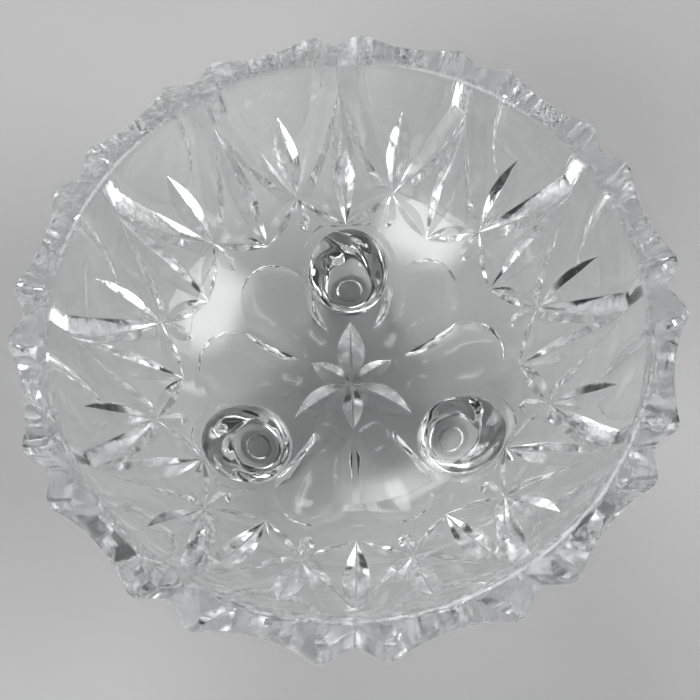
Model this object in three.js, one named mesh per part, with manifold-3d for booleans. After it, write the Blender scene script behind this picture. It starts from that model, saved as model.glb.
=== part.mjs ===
// Footed candy dish of clear crystal: a bowl with twelve cut fields, standing on three rounded feet.
// Millimetres and degrees, +Z up. The origin lies on the table, below the middle of the bowl.
import * as THREE from 'three';
import { mergeVertices } from 'three/addons/utils/BufferGeometryUtils.js';
import Module from 'manifold-3d';

// Overall size
const RIM_RADIUS = 76; // to the points of the scalloped rim
const TOTAL_HEIGHT = 74; // table to the flat top of the rim
const FOOT_HEIGHT = 12.7; // table to the flat underside of the bowl

// Outer form of the bowl
const UNDERSIDE_FLAT_RADIUS = 27;
const SHOULDER_RADIUS = 57.4; // the ring where the rounded bottom turns into the wall
const SHOULDER_HEIGHT = 31.2;
const BOTTOM_LEAN = 43; // lean from the vertical just below the shoulder
const WALL_LEAN = 35; // lean just above the shoulder
const RIM_LEAN = 7; // lean at the rim
const LEVEL = 90; // lean of a level surface

// Thickness of the glass
const FLOOR_THICKNESS = 6.2;
const WALL_THICKNESS = 7; // at the shoulder, square to the wall
const RIM_THICKNESS = 8.8; // at the points of the rim
const LIP_RADIUS = 2.4; // rounding of the rim's inner edge
const FLOOR_FLAT_RADIUS = 20; // of the level middle of the floor

// Pattern on the wall: equal fields, each with a rim notch, a fan, a star and a scooped panel
const FIELDS = 12;
const FACET_SLOPE = 0.8; // depth of a mitre cut over half its width
const NOTCH_DEPTH = 3.3;
const NOTCH_HALF_WIDTH = 5.4;
const LAND_WIDTH = 2.4; // plain glass between a notch and a panel, at the rim
const PANEL_DEPTH = 2.95; // at the rim
const PANEL_RIM_STEEPNESS = 2; // low is an even hollow, high a level middle with steep sides
const PANEL_END_STEEPNESS = 4;
const PANEL_DROP = 29; // down the wall, from the rim to the panel's round end
const PANEL_SHALLOWING = 2; // how late on its way down the panel gets shallow
const PANEL_ROUNDING = 3; // how late it gets narrow
const FAN_DROP = 14.5; // down the wall, from the rim to where a notch opens into a fan
const FAN_DEPTH = 3.3; // of a fan's side arm where it starts
const FAN_STRAIGHTNESS = 0.48; // share of the side arm's swing that is even along its length
const FAN_BEND = 2.5; // how late the rest of the swing comes
const FAN_SHALLOWING = 4; // how late on its way down the side arm gets shallow
const FAN_TAPER = 3; // how late its outer facet gets narrow
const FAN_INNER_HALF_WIDTH = 3.9; // of the side arm's facet that faces the spear
const FAN_FULLEST = 0.94; // share of the side arm's length where that facet is widest
const SPEAR_HALF_WIDTH = 3.55; // of the fan's middle leaf
const SPEAR_FULLEST = 0.4;
const STAR_LEAF_HALF_WIDTH = 3.5; // of the star's upright leaf
const STAR_LEAF_REACH = 27.5; // up the wall, from the star's middle
const LOWER_ARM_HALF_WIDTH = 2.5;
const LOWER_RING_REACH = 10.8; // down the bottom, from the stars to the points where lower arms meet
const BUD_HALF_WIDTH = 2.2;
const BUD_REACH = 11; // down the bottom, from the star's middle
const BUD_FULLEST = 0.65;
const BUD_BLUNTNESS = 0.8;

// Pattern under the floor: a star of long and short arms, and pairs of petals between the feet
const FLOOR_STAR_LONG_REACH = 20;
const FLOOR_STAR_SHORT_REACH = 14;
const FLOOR_STAR_HALF_WIDTH = 4.3;
const PETAL_DEPTH = 3.2;
const PETAL_STEEPNESS = 2.2;
const PETAL_INNER_RADIUS = 12;
const PETAL_END_CENTRE = 35; // distance of its round end's centre from the axis
const PETAL_OFFSET_ANGLE = 20; // of a petal from the axis of its pair
const PETAL_RIDGE = 0.8; // left standing between the two petals of a pair

// Feet
const FOOT_NAMES = ['foot_back', 'foot_left', 'foot_right'];
const FIRST_FOOT_ANGLE = 90;
const FOOT_RING_RADIUS = 36; // of the feet's own axes about the bowl's
const FOOT_RADIUS = 13;
const FOOT_DOME_HEIGHT = 23; // from the table to where the foot is thickest
const CONTACT_RADIUS = 5.9; // of the flat ring that touches the table
const DIMPLE_RADIUS = 4.1;
const DIMPLE_DEPTH = 0.8;
const JOINT_GAP = 0.3; // between a foot and the underside that carries it

// Fineness of the facets
const BOWL_SEGMENTS = 60;
const FOOT_SEGMENTS = 28;
const FOOT_STEPS = 6;
const PROFILE_STEPS = 5; // on each curve of the bowl's profile
const LIP_STEPS = 3;
const LEAF_STEPS = 5;
const PANEL_STEPS = 5;
const PETAL_STEPS = 4; // on the petal's straight part, and again on its round end
const SCOOP_STRIPS = 6; // across a panel or a petal

// Cutters stand clear of the glass outside it, so that only their inner faces shape it
const CLEARANCE = 4;
const FACET_OVERRUN = 0.35; // of a facet past its edge, as a share of its width
const SCOOP_OVERRUN = 0.12;
const TIP = 0.02; // size of a cutter's blunt tip
const WELD_DISTANCE = 1e-5; // points closer than this are one point

const FIELD_ANGLE = 360 / FIELDS;
const FOOT_PITCH = 360 / FOOT_NAMES.length;
const { degToRad, lerp, clamp, smoothstep } = THREE.MathUtils;

const GLASS = new THREE.MeshStandardMaterial({
  color: 0xe9eef0,
  roughness: 0.05,
  metalness: 0,
  transparent: true,
  opacity: 0.35,
});

const wasm = await Module();
wasm.setup();

function solidFrom(geometry) {
  geometry.deleteAttribute('normal');
  geometry.deleteAttribute('uv');
  const merged = mergeVertices(geometry, WELD_DISTANCE);
  const corners = merged.index.array;
  const triangles = [];
  for (let i = 0; i < corners.length; i += 3) {
    const [a, b, c] = corners.slice(i, i + 3);
    if (a !== b && b !== c && c !== a) {
      triangles.push(a, b, c);
    }
  }
  const vertProperties = new Float32Array(merged.attributes.position.array);
  const triVerts = new Uint32Array(triangles);
  return new wasm.Manifold(new wasm.Mesh({ numProp: 3, vertProperties, triVerts }));
}

function meshFrom(name, solid) {
  const { vertProperties, triVerts } = solid.getMesh();
  const geometry = new THREE.BufferGeometry();
  geometry.setAttribute('position', new THREE.BufferAttribute(vertProperties, 3));
  geometry.setIndex(new THREE.BufferAttribute(triVerts, 1));
  geometry.computeVertexNormals();
  const mesh = new THREE.Mesh(geometry, GLASS);
  mesh.name = name;
  return mesh;
}

// A body of revolution about Z, from an outline that starts and ends on the axis
function turned(outline, segments) {
  const lathe = new THREE.LatheGeometry(outline, segments);
  lathe.rotateX(Math.PI / 2);
  return solidFrom(lathe);
}

function evenShares(steps) {
  return Array.from({ length: steps + 1 }, (_, i) => i / steps);
}

// A curve between two points with a given lean from the vertical at each end
function leaningCurve(start, startLean, end, endLean) {
  const [a, b] = [degToRad(startLean), degToRad(endLean)];
  const span = end.clone().sub(start);
  const run = (span.x * Math.cos(b) - span.y * Math.sin(b)) / Math.sin(a - b);
  const corner = new THREE.Vector2(start.x + run * Math.sin(a), start.y + run * Math.cos(a));
  return new THREE.QuadraticBezierCurve(start, corner, end).getPoints(PROFILE_STEPS);
}

// Outer profile from the axis to the rim: level underside, rounded bottom, leaning wall
function outerProfile() {
  const middle = new THREE.Vector2(0, FOOT_HEIGHT);
  const edge = new THREE.Vector2(UNDERSIDE_FLAT_RADIUS, FOOT_HEIGHT);
  const shoulder = new THREE.Vector2(SHOULDER_RADIUS, SHOULDER_HEIGHT);
  const rim = new THREE.Vector2(RIM_RADIUS, TOTAL_HEIGHT);
  const bottom = leaningCurve(edge, LEVEL, shoulder, BOTTOM_LEAN);
  const wall = leaningCurve(shoulder, WALL_LEAN, rim, RIM_LEAN);
  return [middle, ...bottom, ...wall.slice(1)];
}

// Inner profile from the rim's lip down to the axis
function innerProfile() {
  const shoulderLean = (BOTTOM_LEAN + WALL_LEAN) / 2;
  const middle = new THREE.Vector2(0, FOOT_HEIGHT + FLOOR_THICKNESS);
  const edge = new THREE.Vector2(FLOOR_FLAT_RADIUS, middle.y);
  const shoulder = new THREE.Vector2(
    SHOULDER_RADIUS - WALL_THICKNESS * Math.cos(degToRad(shoulderLean)),
    SHOULDER_HEIGHT + WALL_THICKNESS * Math.sin(degToRad(shoulderLean)),
  );
  const lip = new THREE.Vector2(RIM_RADIUS - RIM_THICKNESS, TOTAL_HEIGHT - LIP_RADIUS);
  const bottom = leaningCurve(edge, LEVEL, shoulder, shoulderLean);
  const wall = leaningCurve(shoulder, shoulderLean, lip, RIM_LEAN);
  const rounding = evenShares(LIP_STEPS).slice(1).map((share) => new THREE.Vector2(
    lip.x + LIP_RADIUS * (1 - Math.cos((share * Math.PI) / 2)),
    lip.y + LIP_RADIUS * Math.sin((share * Math.PI) / 2),
  ));
  return [middle, ...bottom, ...wall.slice(1), ...rounding].reverse();
}

// The outer profile as a scale: a distance along it from the axis gives a point and a normal
const outer = outerProfile();
const marks = [0];
for (let i = 1; i < outer.length; i += 1) {
  marks.push(marks[i - 1] + outer[i].distanceTo(outer[i - 1]));
}
const SHOULDER_MARK = marks[PROFILE_STEPS + 1];
const RIM_MARK = marks[marks.length - 1];

function normalAt(i) {
  const before = outer[Math.max(i - 1, 0)];
  const after = outer[Math.min(i + 1, outer.length - 1)];
  const along = after.clone().sub(before).normalize();
  return new THREE.Vector2(along.y, -along.x);
}

function profileAt(mark) {
  let i = 1;
  while (i < outer.length - 1 && marks[i] < mark) {
    i += 1;
  }
  const share = (mark - marks[i - 1]) / (marks[i] - marks[i - 1]);
  const point = outer[i - 1].clone().lerp(outer[i], share);
  const normal = normalAt(i - 1).lerp(normalAt(i), clamp(share, 0, 1)).normalize();
  return { point, normal };
}

function markAtRadius(radius) {
  let i = 1;
  while (i < outer.length - 1 && outer[i].x < radius) {
    i += 1;
  }
  const share = (radius - outer[i - 1].x) / (outer[i].x - outer[i - 1].x);
  return lerp(marks[i - 1], marks[i], share);
}

// A point beside a path on the outer surface, sunk to a depth below that surface
function sunkPoint({ angle, mark }, heading, across, depth) {
  const sideways = across * Math.cos(heading);
  const along = mark - across * Math.sin(heading);
  const flatness = along / Math.max(profileAt(along).point.x, TIP);
  const turn = degToRad(angle) + Math.atan2(sideways, along) * flatness;
  const { point, normal } = profileAt(Math.hypot(along, sideways));
  const radius = point.x - normal.x * depth;
  return [radius * Math.cos(turn), radius * Math.sin(turn), point.y - normal.y * depth];
}

// A cutter that follows a path on the outer surface. Each station holds the path's angle and mark, and
// a section of [across, depth] pairs, in which a depth below zero stands clear of the glass.
function cutter(stations) {
  const count = stations[0].section.length;
  const positions = [];
  stations.forEach((station, i) => {
    const before = stations[Math.max(i - 1, 0)];
    const after = stations[Math.min(i + 1, stations.length - 1)];
    const sideways = degToRad(after.angle - before.angle) * profileAt(station.mark).point.x;
    const heading = Math.atan2(sideways, after.mark - before.mark);
    const cover = station.section.map(([across, depth]) => [across, Math.min(depth, 0) - CLEARANCE]);
    for (const [across, depth] of [...station.section, ...cover]) {
      positions.push(...sunkPoint(station, heading, across, depth));
    }
  });
  const indices = [];
  const quad = (a, b, c, d) => indices.push(a, b, c, a, c, d);
  const ring = 2 * count;
  const last = (stations.length - 1) * ring;
  for (let j = 0; j < count - 1; j += 1) {
    quad(j, j + 1, count + j + 1, count + j);
    quad(last + j, last + count + j, last + count + j + 1, last + j + 1);
  }
  for (let here = 0; here < last; here += ring) {
    const next = here + ring;
    for (let j = 0; j < count - 1; j += 1) {
      quad(here + j, next + j, next + j + 1, here + j + 1);
      quad(here + count + j, here + count + j + 1, next + count + j + 1, next + count + j);
    }
    quad(here, here + count, next + count, next);
    quad(here + count - 1, next + count - 1, next + ring - 1, here + ring - 1);
  }
  const geometry = new THREE.BufferGeometry();
  geometry.setAttribute('position', new THREE.Float32BufferAttribute(positions, 3));
  geometry.setIndex(indices);
  return solidFrom(geometry);
}

// Section of a mitre cut: two facets that meet in a keel, cut from a floor below the outer surface
function mitre(left, right, depth, floor = 0) {
  const run = 1 + FACET_OVERRUN;
  const edge = floor - FACET_OVERRUN * depth - TIP;
  return [[-left * run - TIP, edge], [0, floor + depth], [right * run + TIP, edge]];
}

// Section of a smooth scoop, deepest in the middle
function scoop(halfWidth, depth, steepness) {
  const reach = 1 + SCOOP_OVERRUN;
  return evenShares(SCOOP_STRIPS).map((share) => {
    const part = lerp(-reach, reach, share);
    return [part * halfWidth, depth * (1 - Math.abs(part) ** steepness) - TIP];
  });
}

// Share of a leaf's full width at a share of its length
function leafShape(share, fullest, bluntness = 1) {
  const part = share < fullest ? share / fullest : (1 - share) / (1 - fullest);
  return Math.sin((Math.PI / 2) * clamp(part, 0, 1)) ** bluntness;
}

// A leaf-shaped mitre cut from one point of the surface to another
function leafCut({ from, to, halfWidth, fullest = 0.5, bluntness = 1, floorAt = () => 0 }) {
  const kink = (SHOULDER_MARK - from.mark) / (to.mark - from.mark);
  const shares = evenShares(LEAF_STEPS);
  if (kink > 0 && kink < 1) {
    const nearest = Math.round(kink * LEAF_STEPS);
    shares[clamp(nearest, 1, LEAF_STEPS - 1)] = kink;
  }
  return cutter(shares.map((share) => {
    const half = halfWidth * leafShape(share, fullest, bluntness);
    const mark = lerp(from.mark, to.mark, share);
    const angle = lerp(from.angle, to.angle, share);
    return { angle, mark, section: mitre(half, half, half * FACET_SLOPE, floorAt(mark)) };
  }));
}

// Points of the wall's pattern, about the notch at angle zero
const HALF_FIELD = FIELD_ANGLE / 2;
const fanPoint = { angle: 0, mark: RIM_MARK - FAN_DROP };
const lowerPoint = { angle: 0, mark: SHOULDER_MARK - LOWER_RING_REACH };
const starPoint = (side, rise) => ({ angle: side * HALF_FIELD, mark: SHOULDER_MARK + rise });

function panelDepthAt(mark) {
  const share = clamp((RIM_MARK - mark) / PANEL_DROP, 0, 1);
  return PANEL_DEPTH * (1 - share ** PANEL_SHALLOWING);
}

// Scooped panel beside a notch, open at the rim and round at its lower end
function panelCut() {
  const rimHalfWidth = degToRad(HALF_FIELD) * RIM_RADIUS - NOTCH_HALF_WIDTH - LAND_WIDTH;
  const shares = [-SCOOP_OVERRUN, ...evenShares(PANEL_STEPS).slice(1)];
  return cutter(shares.map((share) => {
    const mark = RIM_MARK - PANEL_DROP * share;
    const narrowing = Math.sqrt(1 - clamp(share, 0, 1) ** PANEL_ROUNDING) + TIP;
    const halfWidth = rimHalfWidth * narrowing * (profileAt(mark).point.x / RIM_RADIUS);
    const steepness = lerp(PANEL_RIM_STEEPNESS, PANEL_END_STEEPNESS, clamp(share, 0, 1));
    return { angle: HALF_FIELD, mark, section: scoop(halfWidth, panelDepthAt(mark), steepness) };
  }));
}

// Rim notch that runs down to the fan point and then swings out as the fan's side arm to a star
function fanArmCut(side) {
  const notch = [-SCOOP_OVERRUN, 1 - SCOOP_OVERRUN].map((share) => ({
    angle: 0,
    mark: RIM_MARK - FAN_DROP * share,
    depth: lerp(NOTCH_DEPTH, FAN_DEPTH, clamp(share, 0, 1)),
    outside: NOTCH_HALF_WIDTH,
    inside: 0,
  }));
  const shares = [...evenShares(LEAF_STEPS).slice(0, -1), FAN_FULLEST, 1];
  const arm = shares.map((share) => ({
    angle: side * HALF_FIELD * lerp(share ** FAN_BEND, share, FAN_STRAIGHTNESS),
    mark: lerp(fanPoint.mark, SHOULDER_MARK, share),
    depth: FAN_DEPTH * (1 - share ** FAN_SHALLOWING),
    outside: NOTCH_HALF_WIDTH * (1 - share ** FAN_TAPER),
    inside: FAN_INNER_HALF_WIDTH * Math.min(share / FAN_FULLEST, (1 - share) / (1 - FAN_FULLEST)),
  }));
  return cutter([...notch, ...arm].reverse().map(({ angle, mark, depth, outside, inside }) => {
    const [left, right] = side > 0 ? [inside, outside] : [outside, inside];
    return { angle, mark, section: mitre(left, right, depth) };
  }));
}

// All cuts of one field of the wall
function fieldCuts() {
  const lowerArm = (side) => leafCut({
    from: starPoint(side, 0),
    to: lowerPoint,
    halfWidth: LOWER_ARM_HALF_WIDTH,
  });
  const spear = leafCut({
    from: lowerPoint,
    to: fanPoint,
    halfWidth: SPEAR_HALF_WIDTH,
    fullest: SPEAR_FULLEST,
  });
  const starLeaf = leafCut({
    from: starPoint(1, 0),
    to: starPoint(1, STAR_LEAF_REACH),
    halfWidth: STAR_LEAF_HALF_WIDTH,
    floorAt: panelDepthAt,
  });
  const bud = leafCut({
    from: starPoint(1, 0),
    to: starPoint(1, -BUD_REACH),
    halfWidth: BUD_HALF_WIDTH,
    fullest: BUD_FULLEST,
    bluntness: BUD_BLUNTNESS,
  });
  return [panelCut(), fanArmCut(1), fanArmCut(-1), spear, starLeaf, lowerArm(1), lowerArm(-1), bud];
}

// Teardrop scoop under the floor, narrow towards the middle and round at its outer end
function petalCut(angle) {
  const endRadius = PETAL_END_CENTRE * Math.sin(degToRad(PETAL_OFFSET_ANGLE)) - PETAL_RIDGE / 2;
  const straight = evenShares(PETAL_STEPS).map((share) => {
    const radius = lerp(PETAL_INNER_RADIUS, PETAL_END_CENTRE, share);
    return { radius, halfWidth: (endRadius * radius) / PETAL_END_CENTRE };
  });
  const end = evenShares(PETAL_STEPS).slice(1).map((share) => ({
    radius: PETAL_END_CENTRE + endRadius * Math.sin((share * Math.PI) / 2),
    halfWidth: endRadius * Math.cos((share * Math.PI) / 2) + TIP,
  }));
  return cutter([...straight, ...end].map(({ radius, halfWidth }) => {
    const rise = smoothstep(radius, PETAL_INNER_RADIUS, (PETAL_INNER_RADIUS + PETAL_END_CENTRE) / 2);
    const fall = Math.sqrt(clamp(halfWidth / endRadius, 0, 1));
    const depth = radius > PETAL_END_CENTRE ? PETAL_DEPTH * fall : PETAL_DEPTH * rise;
    return { angle, mark: markAtRadius(radius), section: scoop(halfWidth, depth, PETAL_STEEPNESS) };
  }));
}

function floorStarArm(angle, reach) {
  return leafCut({
    from: { angle, mark: TIP },
    to: { angle, mark: reach },
    halfWidth: (FLOOR_STAR_HALF_WIDTH * reach) / FLOOR_STAR_LONG_REACH,
  });
}

// A foot before it is fitted to the bowl: dimpled contact ring, domed toe and a stub into the bowl
function footBlank() {
  const dome = evenShares(FOOT_STEPS).map((share) => new THREE.Vector2(
    CONTACT_RADIUS + (FOOT_RADIUS - CONTACT_RADIUS) * Math.sin((share * Math.PI) / 2),
    FOOT_DOME_HEIGHT * (1 - Math.cos((share * Math.PI) / 2)),
  ));
  const outline = [
    new THREE.Vector2(0, DIMPLE_DEPTH),
    new THREE.Vector2(DIMPLE_RADIUS - DIMPLE_DEPTH, DIMPLE_DEPTH),
    new THREE.Vector2(DIMPLE_RADIUS, 0),
    ...dome,
    new THREE.Vector2(FOOT_RADIUS, SHOULDER_HEIGHT),
    new THREE.Vector2(0, SHOULDER_HEIGHT),
  ];
  return turned(outline, FOOT_SEGMENTS);
}

// The foot about its own axis, with its top hollowed to sit against the bowl's outer form
function footSolid() {
  const grown = outer.map((point, i) => point.clone().addScaledVector(normalAt(i), JOINT_GAP));
  grown[0].x = 0;
  const bowlForm = turned([...grown, new THREE.Vector2(0, TOTAL_HEIGHT)], BOWL_SEGMENTS);
  return footBlank().subtract(bowlForm.translate([-FOOT_RING_RADIUS, 0, 0]));
}

// Cuts under the floor from a foot at angle zero to the next one; petals stop where a foot is joined
function undersideCuts() {
  const pairAngle = FOOT_PITCH / 2;
  const petals = [-1, 1].map((side) => {
    let petal = petalCut(pairAngle + side * PETAL_OFFSET_ANGLE);
    for (const footAngle of [0, FOOT_PITCH]) {
      petal = petal.subtract(footBlank().translate([FOOT_RING_RADIUS, 0, 0]).rotate([0, 0, footAngle]));
    }
    return petal;
  });
  const longArm = floorStarArm(0, FLOOR_STAR_LONG_REACH);
  const shortArm = floorStarArm(pairAngle, FLOOR_STAR_SHORT_REACH);
  return [...petals, longArm, shortArm];
}

// The blank bowl with a set of cuts repeated around it
function bowlSolid() {
  let solid = turned([...outer, ...innerProfile()], BOWL_SEGMENTS);
  const repeat = (cuts, count) => {
    for (let i = 0; i < count; i += 1) {
      for (const cut of cuts) {
        solid = solid.subtract(cut.rotate([0, 0, FIRST_FOOT_ANGLE + (360 * i) / count]));
      }
    }
  };
  repeat(fieldCuts(), FIELDS);
  repeat(undersideCuts(), FOOT_NAMES.length);
  return solid;
}

const dish = new THREE.Group();
dish.add(meshFrom('bowl', bowlSolid()));
FOOT_NAMES.forEach((name, i) => {
  const foot = meshFrom(name, footSolid());
  foot.position.x = FOOT_RING_RADIUS;
  const place = new THREE.Group();
  place.rotation.z = degToRad(FIRST_FOOT_ANGLE + FOOT_PITCH * i);
  place.add(foot);
  dish.add(place);
});

export default dish;
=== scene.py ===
"""Looks of the footed candy dish: finely cut glass bowl and feet, with floor, light and camera.

The pieces are made again by the construction of the solids, more finely: turned blanks, and cutters that
follow the bowl's outer surface.
"""
import math

import bmesh
import bpy
import numpy as np
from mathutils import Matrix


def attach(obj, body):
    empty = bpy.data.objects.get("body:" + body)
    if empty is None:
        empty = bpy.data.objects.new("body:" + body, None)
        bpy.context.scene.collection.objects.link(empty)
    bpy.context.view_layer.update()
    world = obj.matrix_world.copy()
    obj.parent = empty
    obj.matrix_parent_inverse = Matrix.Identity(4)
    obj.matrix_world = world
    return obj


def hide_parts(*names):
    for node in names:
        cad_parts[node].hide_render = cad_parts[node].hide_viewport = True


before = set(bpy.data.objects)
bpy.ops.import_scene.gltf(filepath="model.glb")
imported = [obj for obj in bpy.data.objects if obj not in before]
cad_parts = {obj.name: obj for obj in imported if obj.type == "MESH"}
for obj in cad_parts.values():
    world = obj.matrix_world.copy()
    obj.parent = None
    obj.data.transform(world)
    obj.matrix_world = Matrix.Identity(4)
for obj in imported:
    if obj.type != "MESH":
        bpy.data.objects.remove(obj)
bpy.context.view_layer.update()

# Shapes are in millimetres and degrees, and sizes that the solids have too keep the solids' values
MM = 0.001

# Bowl: outside
RIM_RADIUS = 76.0  # to the points of the scalloped rim
TOTAL_HEIGHT = 74.0  # table to the flat top of the rim
FOOT_HEIGHT = 12.7  # table to the flat underside of the bowl
UNDERSIDE_FLAT_RADIUS = 27.0
SHOULDER_RADIUS = 57.4  # the ring where the rounded bottom turns into the wall
SHOULDER_HEIGHT = 31.2
BOTTOM_LEAN = 43.0  # lean from the vertical just below the shoulder
WALL_LEAN = 35.0  # lean just above the shoulder
RIM_LEAN = 7.0  # lean at the rim
LEVEL = 90.0  # lean of a level surface

# Bowl: inside
FLOOR_THICKNESS = 6.2
WALL_THICKNESS = 7.0  # at the shoulder, square to the wall
RIM_THICKNESS = 8.8  # at the points of the rim
LIP_RADIUS = 2.4  # rounding of the rim's inner edge
FLOOR_FLAT_RADIUS = 20.0  # of the level middle of the floor

# Bowl: cuts of the wall
FIELDS = 12
FACET_SLOPE = 0.8  # depth of a mitre cut over half its width
KEEL_HALF_WIDTH = 0.25  # of the narrow flat along the bottom of a mitre cut
CHAMFER_DEPTH = 0.1  # of the fine chamfer along its edges
CHAMFER_EASE = 0.5  # slope of the chamfer over that of the facet
FINE_SHARE = 0.25  # the most that the flat takes of a cut's width, and the chamfer of its depth
NOTCH_DEPTH = 3.3
NOTCH_HALF_WIDTH = 5.4
LAND_WIDTH = 2.4  # plain glass between a notch and a panel, at the rim
PANEL_DEPTH = 2.95  # at the rim
PANEL_RIM_STEEPNESS = 2  # low is an even hollow, high a level middle with steep sides
PANEL_END_STEEPNESS = 4
PANEL_DROP = 29.0  # down the wall, from the rim to the panel's round end
PANEL_SHALLOWING = 2  # how late on its way down the panel gets shallow
PANEL_ROUNDING = 3  # how late it gets narrow
FAN_DROP = 14.5  # down the wall, from the rim to where a notch opens into a fan
FAN_DEPTH = 3.3  # of a fan's side arm where it starts
FAN_STRAIGHTNESS = 0.48  # share of the side arm's swing that is even along its length
FAN_BEND = 2.5  # how late the rest of the swing comes
FAN_SHALLOWING = 4  # how late on its way down the side arm gets shallow
FAN_TAPER = 3  # how late its outer facet gets narrow
FAN_INNER_HALF_WIDTH = 3.9  # of the side arm's facet that faces the spear
FAN_FULLEST = 0.94  # share of the side arm's length where that facet is widest
SPEAR_HALF_WIDTH = 3.55  # of the fan's middle leaf
SPEAR_FULLEST = 0.4
STAR_LEAF_HALF_WIDTH = 3.5  # of the star's upright leaf
STAR_LEAF_REACH = 27.5  # up the wall, from the star's middle
LOWER_ARM_HALF_WIDTH = 2.5
LOWER_RING_REACH = 10.8  # down the bottom, from the stars to the points where lower arms meet
BUD_HALF_WIDTH = 2.2
BUD_REACH = 11.0  # down the bottom, from the star's middle
BUD_FULLEST = 0.65
BUD_BLUNTNESS = 0.8

# Bowl: cuts of the underside
FLOOR_STAR_LONG_REACH = 20.0
FLOOR_STAR_SHORT_REACH = 14.0
FLOOR_STAR_HALF_WIDTH = 4.3
PETAL_DEPTH = 3.2
PETAL_STEEPNESS = 2.2
PETAL_INNER_RADIUS = 12.0
PETAL_END_CENTRE = 35.0  # distance of its round end's centre from the axis
PETAL_OFFSET_ANGLE = 20.0  # of a petal from the axis of its pair
PETAL_RIDGE = 0.8  # left standing between the two petals of a pair

# Feet
FOOT_NAMES = ["foot_back", "foot_left", "foot_right"]
FIRST_FOOT_ANGLE = 90.0
FOOT_RING_RADIUS = 36.0  # of the feet's own axes about the bowl's
FOOT_RADIUS = 13.0
FOOT_DOME_HEIGHT = 23.0  # from the table to where the foot is thickest
FOOT_FILLET = 0.7  # where a foot meets the bowl
CONTACT_RADIUS = 5.9  # of the flat ring that touches the table
DIMPLE_RADIUS = 4.1
DIMPLE_DEPTH = 0.8
DIMPLE_EDGE = 0.5  # half the width of its rounded side
TOE_HEIGHT = 11.0  # of the lower part of a foot, under the part that meets the bowl
TOE_WAVE = 0.14  # height of the waves left by shaping the hot glass
TOE_WAVES = ((2, 0.25), (5, -0.4))  # how many go around a foot, and their twist in radians per millimetre
TOE_WAVE_START = 1.0  # height above the table where they begin
TOE_WAVE_FULL = 4.0  # and where they have their full height
SEAM = 0.05  # hair-thin seam between a foot and the bowl
SEAT_DEPTH = 0.02  # how far a foot's seat is let into the bowl

# Fineness
BOWL_SEGMENTS = 360
FOOT_SEGMENTS = 180
DIMPLE_STEPS = 24
TOE_STEPS = 32
NECK_STEPS = 48
PROFILE_STEPS = 28  # on each curve of the bowl's profile
LIP_STEPS = 10
LEAF_STEPS = 20
PANEL_STEPS = 24
PETAL_STEPS = 20  # on the petal's straight part, and again on its round end
SCOOP_STRIPS = 36  # across a panel or a petal

# Cutters
CLEARANCE = 4.0  # how far a cutter stands out of the surface
FACET_OVERRUN = 0.35  # of a facet above the surface, as a share of its depth
SCOOP_OVERRUN = 0.12  # of a scoop past its edge and of a cut past the rim, as shares of their size
TIP = 0.02  # size of a cutter's blunt tip
WELD = 1e-7  # metres: shorter edges are closed up after cutting

FIELD_ANGLE = 360 / FIELDS
HALF_FIELD = FIELD_ANGLE / 2
FOOT_PITCH = 360 / len(FOOT_NAMES)

# Regions of the glass, told apart so that each gets its own finish and its edges stay crisp
REGIONS = [
    "underside", "wall", "rim", "inside", "panel", "mitre",
    "petal", "star", "toe", "contact", "dimple", "seat",
]
CREASE_BETWEEN = math.radians(4)  # an edge between two regions is crisp above this angle
CREASE_WITHIN = math.radians(12)  # and an edge inside one region above this


def lerp(a, b, share):
    return a + (b - a) * share


def clamp(value, low=0.0, high=1.0):
    return max(low, min(high, value))


def smoothstep(value, low, high):
    share = clamp((value - low) / (high - low))
    return share * share * (3 - 2 * share)


def even_shares(steps):
    return [i / steps for i in range(steps + 1)]


# Profiles of the bowl: points of (radius, height)

def leaning_curve(start, start_lean, end, end_lean):
    """Points of a curve between two points with a given lean from the vertical at each end."""
    a, b = math.radians(start_lean), math.radians(end_lean)
    dx, dy = end[0] - start[0], end[1] - start[1]
    run = (dx * math.cos(b) - dy * math.sin(b)) / math.sin(a - b)
    corner = (start[0] + run * math.sin(a), start[1] + run * math.cos(a))
    points = []
    for t in even_shares(PROFILE_STEPS):
        weights = ((1 - t) ** 2, 2 * t * (1 - t), t * t)
        points.append(tuple(sum(w * p[k] for w, p in zip(weights, (start, corner, end))) for k in (0, 1)))
    return points


def outer_profile():
    """From the axis along the underside and up to the rim."""
    edge = (UNDERSIDE_FLAT_RADIUS, FOOT_HEIGHT)
    shoulder = (SHOULDER_RADIUS, SHOULDER_HEIGHT)
    bottom = leaning_curve(edge, LEVEL, shoulder, BOTTOM_LEAN)
    wall = leaning_curve(shoulder, WALL_LEAN, (RIM_RADIUS, TOTAL_HEIGHT), RIM_LEAN)
    return [(0.0, FOOT_HEIGHT)] + bottom + wall[1:]


def inner_profile():
    """From the rim's inner lip down to the axis."""
    shoulder_lean = (BOTTOM_LEAN + WALL_LEAN) / 2
    lean = math.radians(shoulder_lean)
    shoulder_radius = SHOULDER_RADIUS - WALL_THICKNESS * math.cos(lean)
    shoulder = (shoulder_radius, SHOULDER_HEIGHT + WALL_THICKNESS * math.sin(lean))
    middle = (0.0, FOOT_HEIGHT + FLOOR_THICKNESS)
    edge = (FLOOR_FLAT_RADIUS, middle[1])
    lip = (RIM_RADIUS - RIM_THICKNESS, TOTAL_HEIGHT - LIP_RADIUS)
    rounding = []
    for share in even_shares(LIP_STEPS)[1:]:
        turn = share * math.pi / 2
        rounding.append((lip[0] + LIP_RADIUS * (1 - math.cos(turn)), lip[1] + LIP_RADIUS * math.sin(turn)))
    bottom = leaning_curve(edge, LEVEL, shoulder, shoulder_lean)
    wall = leaning_curve(shoulder, shoulder_lean, lip, RIM_LEAN)
    return list(reversed([middle] + bottom + wall[1:] + rounding))


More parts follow.
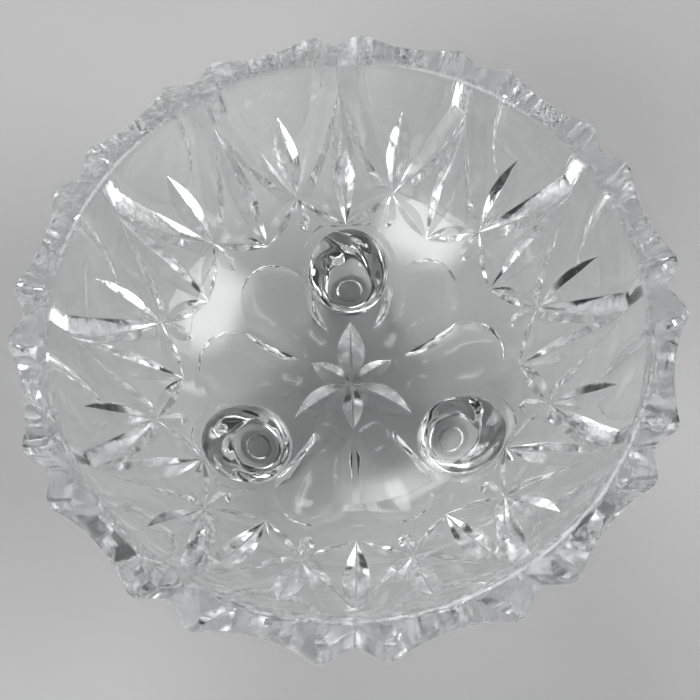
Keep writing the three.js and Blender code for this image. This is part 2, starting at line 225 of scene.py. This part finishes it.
# The outer profile as a scale: a mark, a distance along it from the axis, gives a point and a normal
outer = outer_profile()
marks = [0.0]
for here, there in zip(outer, outer[1:]):
    marks.append(marks[-1] + math.dist(here, there))
SHOULDER_MARK = marks[PROFILE_STEPS + 1]
RIM_MARK = marks[-1]


def normal_at(i):
    before, after = outer[max(i - 1, 0)], outer[min(i + 1, len(outer) - 1)]
    length = math.dist(before, after)
    return ((after[1] - before[1]) / length, -(after[0] - before[0]) / length)


def profile_at(mark):
    i = 1
    while i < len(outer) - 1 and marks[i] < mark:
        i += 1
    share = (mark - marks[i - 1]) / (marks[i] - marks[i - 1])
    point = tuple(lerp(a, b, share) for a, b in zip(outer[i - 1], outer[i]))
    nx, ny = (lerp(a, b, clamp(share)) for a, b in zip(normal_at(i - 1), normal_at(i)))
    length = math.hypot(nx, ny)
    return point, (nx / length, ny / length)


def mark_at_radius(radius):
    i = 1
    while i < len(outer) - 1 and outer[i][0] < radius:
        i += 1
    share = (radius - outer[i - 1][0]) / (outer[i][0] - outer[i - 1][0])
    return lerp(marks[i - 1], marks[i], share)


# Shapes: lists of points in millimetres, faces, and one region for each face

def turned(outline, regions, segments):
    """A body of revolution from an outline that starts and ends on the axis; each step has a region."""
    points, faces, face_regions = [], [], []
    rings = []
    for radius, height in outline:
        if radius == 0:
            rings.append([len(points)] * segments)
            points.append((0.0, 0.0, height))
            continue
        rings.append(list(range(len(points), len(points) + segments)))
        for j in range(segments):
            turn = 2 * math.pi * j / segments
            points.append((radius * math.cos(turn), radius * math.sin(turn), height))
    for low, high, region in zip(rings, rings[1:], regions):
        for j in range(segments):
            k = (j + 1) % segments
            corners = dict.fromkeys((low[j], low[k], high[k], high[j]))
            faces.append(tuple(corners))
            face_regions.append(region)
    return points, faces, face_regions


def sunk_point(station, heading, across, depth):
    """A point beside a path on the outer surface, sunk to a depth below that surface."""
    sideways = across * math.cos(heading)
    along = station["mark"] - across * math.sin(heading)
    flatness = along / max(profile_at(along)[0][0], TIP)
    turn = math.radians(station["angle"]) + math.atan2(sideways, along) * flatness
    point, normal = profile_at(math.hypot(along, sideways))
    radius = point[0] - normal[0] * depth
    return (radius * math.cos(turn), radius * math.sin(turn), point[1] - normal[1] * depth)


def cutter(stations, region):
    """A closed cutter along a path; each station has an angle, a mark and a section of (across, depth)."""
    count = len(stations[0]["section"])
    points, faces = [], []
    for i, station in enumerate(stations):
        before, after = stations[max(i - 1, 0)], stations[min(i + 1, len(stations) - 1)]
        sideways = math.radians(after["angle"] - before["angle"]) * profile_at(station["mark"])[0][0]
        heading = math.atan2(sideways, after["mark"] - before["mark"])
        cover = [(across, min(depth, 0) - CLEARANCE) for across, depth in station["section"]]
        points += [sunk_point(station, heading, *pair) for pair in station["section"] + cover]

    def quad(a, b, c, d):
        faces.extend([(a, b, c), (a, c, d)])

    ring = 2 * count
    last = (len(stations) - 1) * ring
    for j in range(count - 1):
        quad(j, j + 1, count + j + 1, count + j)
        quad(last + j, last + count + j, last + count + j + 1, last + j + 1)
    for here in range(0, last, ring):
        after = here + ring
        for j in range(count - 1):
            quad(here + j, after + j, after + j + 1, here + j + 1)
            quad(here + count + j, here + count + j + 1, after + count + j + 1, after + count + j)
        quad(here, here + count, after + count, after)
        quad(here + count - 1, after + count - 1, after + ring - 1, here + ring - 1)
    return points, faces, [region] * len(faces)


def around(shape, angles):
    """Copies of a shape, turned about the bowl's axis to each angle, as one shape."""
    points, faces, regions = [], [], []
    for angle in angles:
        c, s = math.cos(math.radians(angle)), math.sin(math.radians(angle))
        shift = len(points)
        points += [(x * c - y * s, x * s + y * c, z) for x, y, z in shape[0]]
        faces += [tuple(v + shift for v in face) for face in shape[1]]
        regions += shape[2]
    return points, faces, regions


# Sections of cuts: points of (across, depth)

def mitre_side(width, depth, floor):
    """Half of a mitre cut's section, from the keel out: narrow flat, facet, fine chamfer and overrun."""
    width, depth = max(width, TIP), max(depth, TIP)
    slope = depth / width
    chamfer = min(CHAMFER_DEPTH, FINE_SHARE * depth)
    keel = min(KEEL_HALF_WIDTH, FINE_SHARE * width)
    overrun = FACET_OVERRUN * depth
    inner_edge = (depth - chamfer) / slope
    outer_edge = inner_edge + 2 * chamfer / (slope * CHAMFER_EASE)
    end = outer_edge + (overrun - chamfer) / slope
    return [
        (keel, floor + depth - slope * keel),
        (inner_edge, floor + chamfer),
        (outer_edge, floor - chamfer),
        (end, floor - overrun),
    ]


def mitre(left, right, depth, floor=0.0):
    """A cut with two facets, as wide as given to either side of its keel."""
    mirrored = [(-across, down) for across, down in reversed(mitre_side(left, depth, floor))]
    return mirrored + mitre_side(right, depth, floor)


def scoop(half_width, depth, steepness):
    """A round hollow."""
    reach = 1 + SCOOP_OVERRUN
    section = []
    for share in even_shares(SCOOP_STRIPS):
        part = lerp(-reach, reach, share)
        section.append((part * half_width, depth * (1 - abs(part) ** steepness) - TIP))
    return section


# Cuts of the bowl: paths go between points of (angle, mark)

FAN_POINT = (0.0, RIM_MARK - FAN_DROP)
LOWER_POINT = (0.0, SHOULDER_MARK - LOWER_RING_REACH)


def star_point(side, rise):
    return (side * HALF_FIELD, SHOULDER_MARK + rise)


def leaf_shape(share, fullest, bluntness):
    part = share / fullest if share < fullest else (1 - share) / (1 - fullest)
    return math.sin(math.pi / 2 * clamp(part)) ** bluntness


def leaf_cut(start, end, half_width, fullest=0.5, bluntness=1.0, floor_at=None, region="mitre"):
    """A leaf of two facets, cut into the outer surface or into a floor that lies deeper."""
    kink = (SHOULDER_MARK - start[1]) / (end[1] - start[1])
    shares = even_shares(LEAF_STEPS)
    if 0 < kink < 1:
        shares[int(clamp(round(kink * LEAF_STEPS), 1, LEAF_STEPS - 1))] = kink
    stations = []
    for share in shares:
        half = half_width * leaf_shape(share, fullest, bluntness)
        mark = lerp(start[1], end[1], share)
        floor = floor_at(mark) if floor_at else 0.0
        section = mitre(half, half, half * FACET_SLOPE, floor)
        stations.append({"angle": lerp(start[0], end[0], share), "mark": mark, "section": section})
    return cutter(stations, region)


def panel_depth_at(mark):
    share = clamp((RIM_MARK - mark) / PANEL_DROP)
    return PANEL_DEPTH * (1 - share ** PANEL_SHALLOWING)


def panel_cut():
    """The hollow between two notches, which gives the rim its scallop."""
    rim_half_width = math.radians(HALF_FIELD) * RIM_RADIUS - NOTCH_HALF_WIDTH - LAND_WIDTH
    stations = []
    for share in [-SCOOP_OVERRUN] + even_shares(PANEL_STEPS)[1:]:
        mark = RIM_MARK - PANEL_DROP * share
        narrowing = math.sqrt(1 - clamp(share) ** PANEL_ROUNDING) + TIP
        half_width = rim_half_width * narrowing * profile_at(mark)[0][0] / RIM_RADIUS
        steepness = lerp(PANEL_RIM_STEEPNESS, PANEL_END_STEEPNESS, clamp(share))
        section = scoop(half_width, panel_depth_at(mark), steepness)
        stations.append({"angle": HALF_FIELD, "mark": mark, "section": section})
    return cutter(stations, "panel")


def fan_arm_cut(side):
    """Half of a fan: the rim's notch, and the side arm that runs on from it to the star on that side."""
    rows = []
    for share in (-SCOOP_OVERRUN, 1 - SCOOP_OVERRUN):
        depth = lerp(NOTCH_DEPTH, FAN_DEPTH, clamp(share))
        rows.append((0.0, RIM_MARK - FAN_DROP * share, depth, NOTCH_HALF_WIDTH, 0.0))
    for share in [s for s in even_shares(LEAF_STEPS) if s < FAN_FULLEST] + [FAN_FULLEST, 1.0]:
        angle = side * HALF_FIELD * lerp(share ** FAN_BEND, share, FAN_STRAIGHTNESS)
        mark = lerp(FAN_POINT[1], SHOULDER_MARK, share)
        depth = FAN_DEPTH * (1 - share ** FAN_SHALLOWING)
        outside = NOTCH_HALF_WIDTH * (1 - share ** FAN_TAPER)
        inside = FAN_INNER_HALF_WIDTH * min(share / FAN_FULLEST, (1 - share) / (1 - FAN_FULLEST))
        rows.append((angle, mark, depth, outside, inside))
    stations = []
    for angle, mark, depth, outside, inside in reversed(rows):
        left, right = (inside, outside) if side > 0 else (outside, inside)
        stations.append({"angle": angle, "mark": mark, "section": mitre(left, right, depth)})
    return cutter(stations, "mitre")


def field_cuts():
    """The cuts of one field of the wall."""
    spear = leaf_cut(LOWER_POINT, FAN_POINT, SPEAR_HALF_WIDTH, SPEAR_FULLEST)
    star = star_point(1, 0)
    leaf_tip = star_point(1, STAR_LEAF_REACH)
    star_leaf = leaf_cut(star, leaf_tip, STAR_LEAF_HALF_WIDTH, floor_at=panel_depth_at)
    lower_arms = [leaf_cut(star_point(side, 0), LOWER_POINT, LOWER_ARM_HALF_WIDTH) for side in (1, -1)]
    bud = leaf_cut(star, star_point(1, -BUD_REACH), BUD_HALF_WIDTH, BUD_FULLEST, BUD_BLUNTNESS)
    return [panel_cut(), fan_arm_cut(1), fan_arm_cut(-1), spear, star_leaf, *lower_arms, bud]


def petal_cut(angle):
    """A hollow in the underside that widens outwards to a round end."""
    end_radius = PETAL_END_CENTRE * math.sin(math.radians(PETAL_OFFSET_ANGLE)) - PETAL_RIDGE / 2
    rows = []
    for share in even_shares(PETAL_STEPS):
        radius = lerp(PETAL_INNER_RADIUS, PETAL_END_CENTRE, share)
        rise = smoothstep(radius, PETAL_INNER_RADIUS, (PETAL_INNER_RADIUS + PETAL_END_CENTRE) / 2)
        rows.append((radius, end_radius * radius / PETAL_END_CENTRE, PETAL_DEPTH * rise))
    for share in even_shares(PETAL_STEPS)[1:]:
        turn = share * math.pi / 2
        half_width = end_radius * math.cos(turn) + TIP
        depth = PETAL_DEPTH * math.sqrt(clamp(half_width / end_radius))
        rows.append((PETAL_END_CENTRE + end_radius * math.sin(turn), half_width, depth))
    stations = []
    for radius, half_width, depth in rows:
        section = scoop(half_width, depth, PETAL_STEEPNESS)
        stations.append({"angle": angle, "mark": mark_at_radius(radius), "section": section})
    return cutter(stations, "petal")


def floor_star_arm(angle, reach):
    half_width = FLOOR_STAR_HALF_WIDTH * reach / FLOOR_STAR_LONG_REACH
    return leaf_cut((angle, TIP), (angle, reach), half_width, region="star")


# Feet

def toe_wave(turn, height):
    """How far the side of a foot stands out in its slow twisting waves."""
    waves = sum(math.sin(count * turn + twist * height) for count, twist in TOE_WAVES)
    return TOE_WAVE * waves * smoothstep(height, TOE_WAVE_START, TOE_WAVE_FULL)


def fillet_flare(depth):
    """How far a fillet stands out at a depth below the surface it runs into."""
    return (FOOT_FILLET - clamp(depth, -FOOT_FILLET, FOOT_FILLET)) ** 2 / FOOT_FILLET


def foot_blank(filleted):
    """A foot at its place on the X axis, before it is fitted to the bowl."""
    outline, regions = [(0.0, DIMPLE_DEPTH)], []
    for share in even_shares(DIMPLE_STEPS):
        radius = lerp(DIMPLE_RADIUS - DIMPLE_EDGE, DIMPLE_RADIUS + DIMPLE_EDGE, share)
        outline.append((radius, DIMPLE_DEPTH * (1 - smoothstep(share, 0, 1))))
        regions.append("dimple")
    toe_turn = math.acos(1 - TOE_HEIGHT / FOOT_DOME_HEIGHT)
    turns = [toe_turn * share for share in even_shares(TOE_STEPS)]
    turns += [lerp(toe_turn, math.pi / 2, share) for share in even_shares(NECK_STEPS)[1:]]
    for turn in turns:
        radius = lerp(CONTACT_RADIUS, FOOT_RADIUS, math.sin(turn))
        outline.append((radius, FOOT_DOME_HEIGHT * (1 - math.cos(turn))))
        regions.append("toe" if turn else "contact")
    outline += [(FOOT_RADIUS, SHOULDER_HEIGHT), (0.0, SHOULDER_HEIGHT)]
    points, faces, regions = turned(outline, regions + ["toe", "seat"], FOOT_SEGMENTS)
    shaped = []
    for x, y, z in points:
        radius = math.hypot(x, y)
        stretch = 1.0
        if radius > CONTACT_RADIUS:
            stretch += toe_wave(math.atan2(y, x), z) / radius
        if filleted and radius > CONTACT_RADIUS:
            under, facing = profile_at(mark_at_radius(math.hypot(x + FOOT_RING_RADIUS, y)))
            stretch += fillet_flare((z - under[1]) * facing[1]) / radius
        shaped.append((x * stretch + FOOT_RING_RADIUS, y * stretch, z))
    return shaped, faces, regions


def bowl_form(growth):
    """The bowl's outer form, grown or shrunk a little and filled to the rim."""
    grown = []
    for i, (radius, height) in enumerate(outer):
        normal = normal_at(i)
        grown.append((radius + normal[0] * growth, height + normal[1] * growth))
    outline = [(0.0, grown[0][1])] + grown[1:] + [(0.0, TOTAL_HEIGHT)]
    return turned(outline, ["seat"] * (len(outline) - 1), BOWL_SEGMENTS)


# Blender objects from shapes; a face's region is kept as a material until the cutting is done

region_materials = {name: bpy.data.materials.new("region_" + name) for name in REGIONS}


def made_object(name, shape):
    points, faces, regions = shape
    mesh = bpy.data.meshes.new(name)
    mesh.from_pydata([tuple(v * MM for v in p) for p in points], [], faces)
    for region in REGIONS:
        mesh.materials.append(region_materials[region])
    mesh.polygons.foreach_set("material_index", [REGIONS.index(r) for r in regions])
    mesh.update()
    made = bpy.data.objects.new(name, mesh)
    bpy.context.scene.collection.objects.link(made)
    return made


def cut_object(name, blank, cutters):
    """A piece made from a blank by taking away each cutter in turn."""
    piece = made_object(name, blank)
    tools = [made_object(f"{name}_cutter_{i}", shape) for i, shape in enumerate(cutters)]
    for tool in tools:
        cut = piece.modifiers.new(tool.name, "BOOLEAN")
        cut.operation = "DIFFERENCE"
        cut.solver = "MANIFOLD"
        cut.material_mode = "TRANSFER"
        cut.object = tool
    evaluated = piece.evaluated_get(bpy.context.evaluated_depsgraph_get())
    mesh = bpy.data.meshes.new_from_object(evaluated)
    tidied = bmesh.new()
    tidied.from_mesh(mesh)
    bmesh.ops.dissolve_degenerate(tidied, dist=WELD, edges=tidied.edges)
    straight = [vert for vert in tidied.verts if len(vert.link_edges) == 2]
    bmesh.ops.dissolve_verts(tidied, verts=straight)
    tidied.to_mesh(mesh)
    tidied.free()
    piece.modifiers.clear()
    piece.data = mesh
    mesh.name = name
    for tool in tools:
        bpy.data.objects.remove(tool)
    return piece


def cut_shape(blank, cutters):
    """A shape made from a blank in the same way, to cut or copy."""
    cut = cut_object("cut_shape", blank, cutters)
    points = [tuple(v / MM for v in p.co) for p in cut.data.vertices]
    faces = [tuple(p.vertices) for p in cut.data.polygons]
    regions = [REGIONS[p.material_index] for p in cut.data.polygons]
    bpy.data.objects.remove(cut)
    return points, faces, regions


def crease(mesh):
    """Smooth faces of a closed mesh, with crisp edges at keels and where two regions meet at an angle."""
    count = len(mesh.polygons)
    normals = np.empty(count * 3)
    mesh.polygons.foreach_get("normal", normals)
    normals = normals.reshape(-1, 3)
    regions = np.empty(count, dtype=int)
    mesh.polygons.foreach_get("material_index", regions)
    sizes = np.empty(count, dtype=int)
    mesh.polygons.foreach_get("loop_total", sizes)
    loop_faces = np.repeat(np.arange(count), sizes)
    loop_edges = np.empty(len(mesh.loops), dtype=int)
    mesh.loops.foreach_get("edge_index", loop_edges)
    order = np.argsort(loop_edges, kind="stable")
    first, second = loop_faces[order[0::2]], loop_faces[order[1::2]]
    angle = np.arccos(np.clip((normals[first] * normals[second]).sum(1), -1, 1))
    limit = np.where(regions[first] == regions[second], CREASE_WITHIN, CREASE_BETWEEN)
    sharp = mesh.attributes.get("sharp_edge") or mesh.attributes.new("sharp_edge", "BOOLEAN", "EDGE")
    sharp.data.foreach_set("value", angle > limit)
    mesh.polygons.foreach_set("use_smooth", [True] * count)
    mesh.update()


# Pieces

field_angles = [FIRST_FOOT_ANGLE + FIELD_ANGLE * i for i in range(FIELDS)]
foot_angles = [FIRST_FOOT_ANGLE + FOOT_PITCH * i for i in range(len(FOOT_NAMES))]
pair_angle = FOOT_PITCH / 2

inner = inner_profile()
rim_steps = LIP_STEPS + 1
blank_regions = ["underside"] * (PROFILE_STEPS + 1) + ["wall"] * PROFILE_STEPS
blank_regions += ["rim"] * rim_steps + ["inside"] * (len(inner) - rim_steps)
bowl_blank = turned(outer + inner, blank_regions, BOWL_SEGMENTS)

bowl_cutters = [around(cut, field_angles) for cut in field_cuts()]
plain_stumps = around(foot_blank(False), foot_angles)
filleted_stumps = around(foot_blank(True), foot_angles)
for side in (-1, 1):
    petals = around(petal_cut(pair_angle + side * PETAL_OFFSET_ANGLE), foot_angles)
    bowl_cutters.append(cut_shape(petals, [plain_stumps]))
bowl_cutters.append(cut_shape(filleted_stumps, [bowl_form(-SEAT_DEPTH)]))
for angle in foot_angles:
    bowl_cutters.append(floor_star_arm(angle, FLOOR_STAR_LONG_REACH))
    bowl_cutters.append(floor_star_arm(angle + pair_angle, FLOOR_STAR_SHORT_REACH))
bowl = cut_object("bowl_glass", bowl_blank, bowl_cutters)

foot = cut_shape(foot_blank(True), [bowl_form(SEAM)])
feet = []
for name, angle in zip(FOOT_NAMES, foot_angles):
    feet.append(made_object(name + "_glass", around(foot, [angle])))

# Materials; sizes and heights in metres

WHITE = (1.0, 1.0, 1.0)
CLEAR_TINT = (0.93, 0.942, 0.942)
# Painted shade: the cut facets' glass is tinted darker than the clear glass, so that they read darker
# against the pale floor
CUT_SHADE_TINT = (0.82, 0.835, 0.84)
# Painted shade: the satin star and rim are also tinted darker than the clear glass, so that they read
# darker against the pale floor
SATIN_SHADE_TINT = (0.86, 0.875, 0.88)
WORN_TINT = (0.93, 0.94, 0.94)
TINT_LIFT = 1.02  # of the lighter patches of a tint
TINT_PATCH, TINT_DETAIL = 0.03, 2
POLISH_PATCH, POLISH_DETAIL = 0.012, 4
RIPPLE_DETAIL = 2
GRAIN_DETAIL = 3
NOISE_LOW, NOISE_HIGH = 0.3, 0.7  # the part of a noise's range that is put to use
CRYSTAL_IOR = 1.53
UNBENT_IOR = 1.0


def glass(name, tint_and_shade, roughness, ripple, grain=None, ior=CRYSTAL_IOR):
    """Crystal with a range of roughness; ripple and grain are the (height, size) of its surface's waves."""
    material = bpy.data.materials.new(name)
    material.use_nodes = True
    nodes, links = material.node_tree.nodes, material.node_tree.links
    shader = nodes["Principled BSDF"]
    shader.inputs["Transmission Weight"].default_value = 1.0
    shader.inputs["IOR"].default_value = ior
    place = nodes.new("ShaderNodeTexCoord")

    def noise(size, detail, low=0.0, high=1.0):
        texture = nodes.new("ShaderNodeTexNoise")
        texture.inputs["Scale"].default_value = 1 / size
        texture.inputs["Detail"].default_value = detail
        links.new(place.outputs["Object"], texture.inputs["Vector"])
        spread = nodes.new("ShaderNodeMapRange")
        spread.inputs["From Min"].default_value = NOISE_LOW
        spread.inputs["From Max"].default_value = NOISE_HIGH
        spread.inputs["To Min"].default_value = low
        spread.inputs["To Max"].default_value = high
        links.new(texture.outputs["Fac"], spread.inputs["Value"])
        return spread.outputs["Result"]

    links.new(noise(POLISH_PATCH, POLISH_DETAIL, *roughness), shader.inputs["Roughness"])
    # The base colour is the glass's tint; for the cut, star and rim glass it is also painted shade
    shade = nodes.new("ShaderNodeMix")
    shade.data_type = "RGBA"
    shade.inputs["A"].default_value = (*tint_and_shade, 1)
    shade.inputs["B"].default_value = (*(min(1.0, c * TINT_LIFT) for c in tint_and_shade), 1)
    links.new(noise(TINT_PATCH, TINT_DETAIL), shade.inputs["Factor"])
    links.new(shade.outputs["Result"], shader.inputs["Base Color"])
    normal = None
    for waves, detail in ((ripple, RIPPLE_DETAIL), (grain, GRAIN_DETAIL)):
        if not waves:
            continue
        height, size = waves
        bump = nodes.new("ShaderNodeBump")
        bump.inputs["Distance"].default_value = height
        links.new(noise(size, detail), bump.inputs["Height"])
        if normal:
            links.new(normal, bump.inputs["Normal"])
        normal = bump.outputs["Normal"]
    links.new(normal, shader.inputs["Normal"])
    return material


polished = glass("crystal_polished", CLEAR_TINT, roughness=(0.0, 0.02), ripple=(0.00001, 0.012))
# The cut glass carries painted shade in its darker tint
cut_facet = glass(
    "crystal_cut_shaded", CUT_SHADE_TINT, roughness=(0.04, 0.15), ripple=(0.00003, 0.0025), grain=(0.000004, 0.0005))
# The star and rim glass carry painted shade in their darker satin tint
star_glass = glass(
    "crystal_star_shaded", SATIN_SHADE_TINT, roughness=(0.15, 0.4), ripple=(0.00003, 0.0025), grain=(0.000006, 0.0005))
rim_glass = glass(
    "crystal_rim_shaded", SATIN_SHADE_TINT, roughness=(0.02, 0.14), ripple=(0.0001, 0.004), grain=(0.000005, 0.0005))
toe_glass = glass("crystal_toe", CLEAR_TINT, roughness=(0.0, 0.03), ripple=(0.00003, 0.007))
worn = glass(
    "crystal_worn", WORN_TINT, roughness=(0.35, 0.6), ripple=(0.00001, 0.002), grain=(0.00001, 0.0003))
# A foot is melted on to the bowl: light goes through the two seat faces unbent
melted = glass("crystal_melted", WHITE, roughness=(0.0, 0.0), ripple=(0.00001, 0.012), ior=UNBENT_IOR)
FINISHES = {
    "underside": polished,
    "wall": polished,
    "rim": rim_glass,
    "inside": polished,
    "panel": polished,
    "mitre": cut_facet,
    "petal": polished,
    "star": star_glass,
    "toe": toe_glass,
    "contact": worn,
    "dimple": toe_glass,
    "seat": melted,
}

for piece in [bowl, *feet]:
    crease(piece.data)
    for i, slot in enumerate(piece.data.materials):
        piece.data.materials[i] = FINISHES[slot.name.removeprefix("region_")]
    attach(piece, "root")
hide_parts("bowl")
for piece, name in zip(feet, FOOT_NAMES):
    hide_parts(name)
for material in region_materials.values():
    bpy.data.materials.remove(material)

# Floor

FLOOR_HALF = 40.0  # metres
FLOOR_LEVEL = -0.00015  # a hair below the feet
FLOOR_COLOUR = (0.66, 0.66, 0.66, 1)
FLOOR_ROUGHNESS = 0.8
FLOOR_SPECULAR = 0.2

floor_mesh = bpy.data.meshes.new("floor")
quarters = ((-1, -1), (1, -1), (1, 1), (-1, 1))
corners = [(x * FLOOR_HALF, y * FLOOR_HALF, FLOOR_LEVEL) for x, y in quarters]
floor_mesh.from_pydata(corners, [], [(0, 1, 2, 3)])
floor = bpy.data.objects.new("floor", floor_mesh)
bpy.context.scene.collection.objects.link(floor)
floor_material = bpy.data.materials.new("floor_pale")
floor_material.use_nodes = True
floor_shader = floor_material.node_tree.nodes["Principled BSDF"]
floor_shader.inputs["Base Color"].default_value = FLOOR_COLOUR
floor_shader.inputs["Roughness"].default_value = FLOOR_ROUGHNESS
floor_shader.inputs["Specular IOR Level"].default_value = FLOOR_SPECULAR
floor_mesh.materials.append(floor_material)

# Light: a soft dome, plain at the horizon and dim overhead, with a few broad sectors of side light between
# them, so that the cuts sparkle

SECTORS = 3
SECTOR_TURN = 0.5  # radians
SECTOR_LIGHT, GAP_LIGHT = 5.0, 0.0
HORIZON_LIGHT, OVERHEAD_LIGHT = 0.46, 0.05
SECTOR_START, SECTOR_FULL = 0.15, 0.9  # on a cosine wave around the dome
RISE_START, RISE_END = 0.2, 0.36  # heights on the unit dome between which the side light comes in
FADE_START, FADE_END = 0.6, 0.85  # and between which it fades out

world = bpy.data.worlds.new("surround")
bpy.context.scene.world = world
world.use_nodes = True
dome, dome_links = world.node_tree.nodes, world.node_tree.links
direction = dome.new("ShaderNodeSeparateXYZ")
dome_links.new(dome.new("ShaderNodeTexCoord").outputs["Generated"], direction.inputs["Vector"])


def feed(socket, value):
    """Set a node's input to a number, or link another node's output to it."""
    if isinstance(value, float):
        socket.default_value = value
    else:
        dome_links.new(value, socket)


def dome_math(operation, *values):
    node = dome.new("ShaderNodeMath")
    node.operation = operation
    for socket, value in zip(node.inputs, values):
        feed(socket, value)
    return node.outputs["Value"]


def dome_fade(value, low, high, first, last):
    """From first to last, smoothly, as a value goes from low to high."""
    node = dome.new("ShaderNodeMapRange")
    node.interpolation_type = "SMOOTHSTEP"
    feed(node.inputs["Value"], value)
    feed(node.inputs["From Min"], low)
    feed(node.inputs["From Max"], high)
    feed(node.inputs["To Min"], first)
    feed(node.inputs["To Max"], last)
    return node.outputs["Result"]


bearing = dome_math("ARCTAN2", direction.outputs["Y"], direction.outputs["X"])
wave = dome_math("COSINE", dome_math("MULTIPLY_ADD", bearing, float(SECTORS), SECTOR_TURN))
side_light = dome_fade(wave, SECTOR_START, SECTOR_FULL, GAP_LIGHT, SECTOR_LIGHT)
low_light = dome_fade(direction.outputs["Z"], RISE_START, RISE_END, HORIZON_LIGHT, side_light)
strength = dome_fade(direction.outputs["Z"], FADE_START, FADE_END, low_light, OVERHEAD_LIGHT)
feed(dome["Background"].inputs["Strength"], strength)
dome["Background"].inputs["Color"].default_value = (*WHITE, 1)

# Camera, tones and bounces of light

LENS = 39.27  # millimetres, as the sensor is
SENSOR_WIDTH = 36.0
NEAREST = 0.01  # metres
CAMERA_PLACE = (0.00454, -0.07285, 0.23019)
CAMERA_TURN = (21.183, 1.971, -1.749)
CLEAR_BOUNCES = 24
GLOSSY_BOUNCES = 16

camera_data = bpy.data.cameras.new("camera")
camera_data.lens = LENS
camera_data.sensor_width = SENSOR_WIDTH
camera_data.clip_start = NEAREST
camera = bpy.data.objects.new("camera", camera_data)
camera.location = CAMERA_PLACE
camera.rotation_euler = [math.radians(v) for v in CAMERA_TURN]
bpy.context.scene.collection.objects.link(camera)
bpy.context.scene.camera = camera

bpy.context.scene.view_settings.view_transform = "Standard"
bpy.context.scene.cycles.max_bounces = CLEAR_BOUNCES
bpy.context.scene.cycles.transmission_bounces = CLEAR_BOUNCES
bpy.context.scene.cycles.glossy_bounces = GLOSSY_BOUNCES
